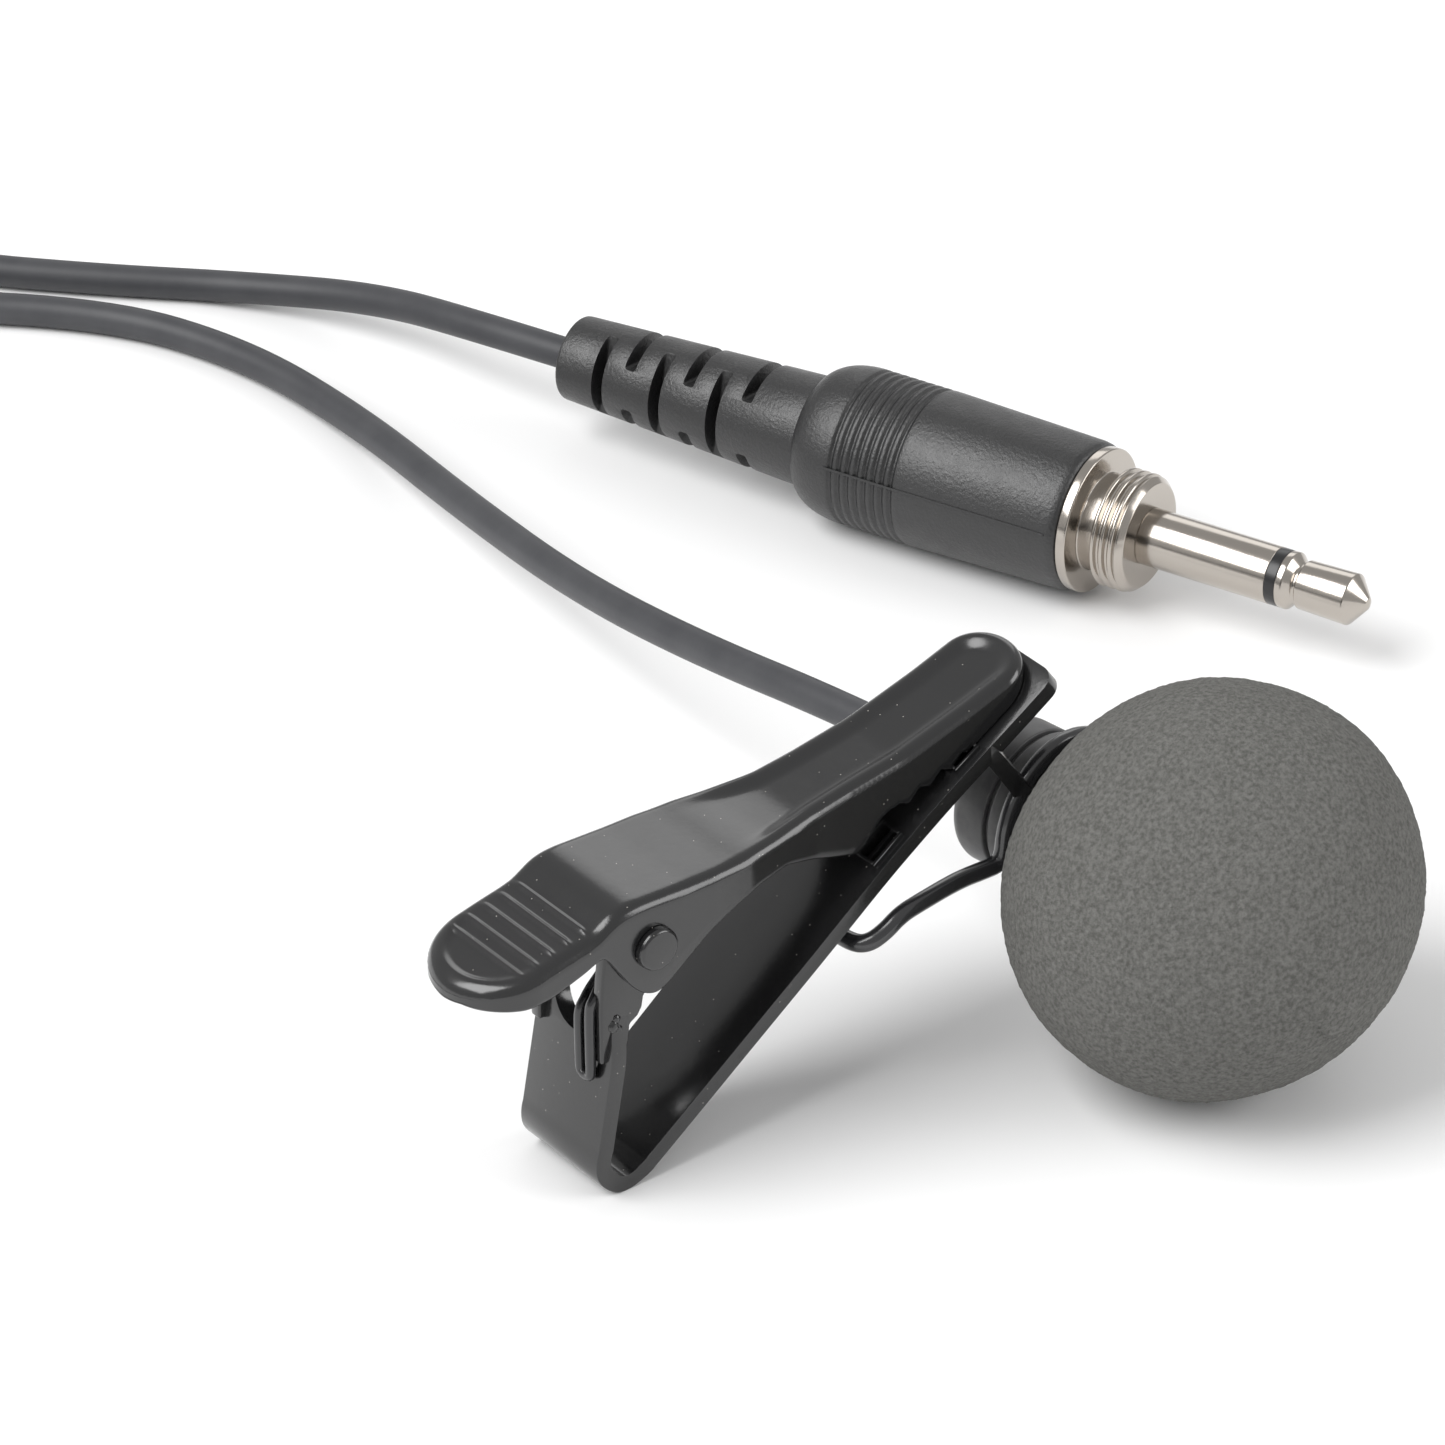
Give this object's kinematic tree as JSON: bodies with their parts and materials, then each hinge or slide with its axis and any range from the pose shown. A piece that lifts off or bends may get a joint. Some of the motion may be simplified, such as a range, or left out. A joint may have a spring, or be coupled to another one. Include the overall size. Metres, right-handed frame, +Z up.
{
  "type": "lavalier microphone",
  "caption": "Clip-on lavalier microphone: foam ball windscreen on a small barrel held by a wire ring to a sprung metal clip, with a cord and a screw-lock mini jack plug.",
  "frame": {"origin": "middle of the footprint of the clip, microphone and foam, at the level of the table they stand on", "axes": "+X along the clip towards its jaw tip, +Y along the clip's pivot pin away from the foam, +Z up"},
  "size_m": [0.0775, 0.1725, 0.0232],
  "materials": {
    "black_steel": "gloss black paint over pressed steel",
    "spring_steel": "blackened spring wire",
    "black_wire": "gloss black paint over steel wire",
    "mic_shell": "satin black",
    "soft_rubber": "matte",
    "felt": "felt",
    "bare_aluminium": "satin",
    "circuit_board": "solder mask",
    "plug_plastic": "satin moulded",
    "lead_sleeve": "thin sleeve",
    "foam": "open-cell foam",
    "nickel": "polished nickel plate",
    "black_insulator": "moulded",
    "tinned_brass": "tinned",
    "cord_pvc": "matte PVC",
    "tie": "matte"
  },
  "bodies": {
    "clip": {"clip_frame": "black_steel", "pivot_rivet": "black_steel", "torsion_spring": "spring_steel", "wire_holder": "black_wire", "mic_cord": "cord_pvc", "plug_cord": "cord_pvc", "cord_coil": "cord_pvc", "coil_tie": "tie", "plug_relief": "plug_plastic", "plug_body": "plug_plastic", "plug_collar": "nickel", "jack_sleeve": "nickel", "jack_insulator": "black_insulator", "jack_tip": "nickel", "rear_insulator": "black_insulator", "tip_tag": "tinned_brass", "ground_tag": "tinned_brass", "core_lead": "lead_sleeve", "screen_lead": "lead_sleeve"},
    "lever": {"clip_lever": "black_steel"},
    "mic": {"mic_barrel": "mic_shell", "mic_rear_cap": "mic_shell", "cord_bush": "soft_rubber", "mic_grille": "mic_shell", "dust_felt": "felt", "capsule_can": "bare_aluminium", "capsule_boot": "soft_rubber", "capsule_board": "circuit_board", "capsule_spacer": "plug_plastic", "capsule_lead_live": "lead_sleeve", "capsule_lead_ground": "lead_sleeve"},
    "foam": {"foam_windscreen": "foam"}
  },
  "joints": [
    {"name": "lever_pivot", "type": "hinge", "parent": "clip", "child": "lever", "pos_m": [-0.0155, 0.01033, 0.0153], "axis": [0, -1, 0], "range_deg": [0, 30], "stiffness_Nm_per_rad": 0.06, "springref_deg": -34.38, "deforming": ["torsion_spring"]},
    {"name": "mic_swivel", "type": "hinge", "parent": "clip", "child": "mic", "pos_m": [0.01371, 0.00774, 0.0116], "axis": [0.1599, -0.9871, 0], "range_deg": [-90, 90]},
    {"name": "foam_pull", "type": "slide", "parent": "mic", "child": "foam", "axis": [0.1599, -0.9871, 0], "range_m": [0, 0.012]}
  ]
}
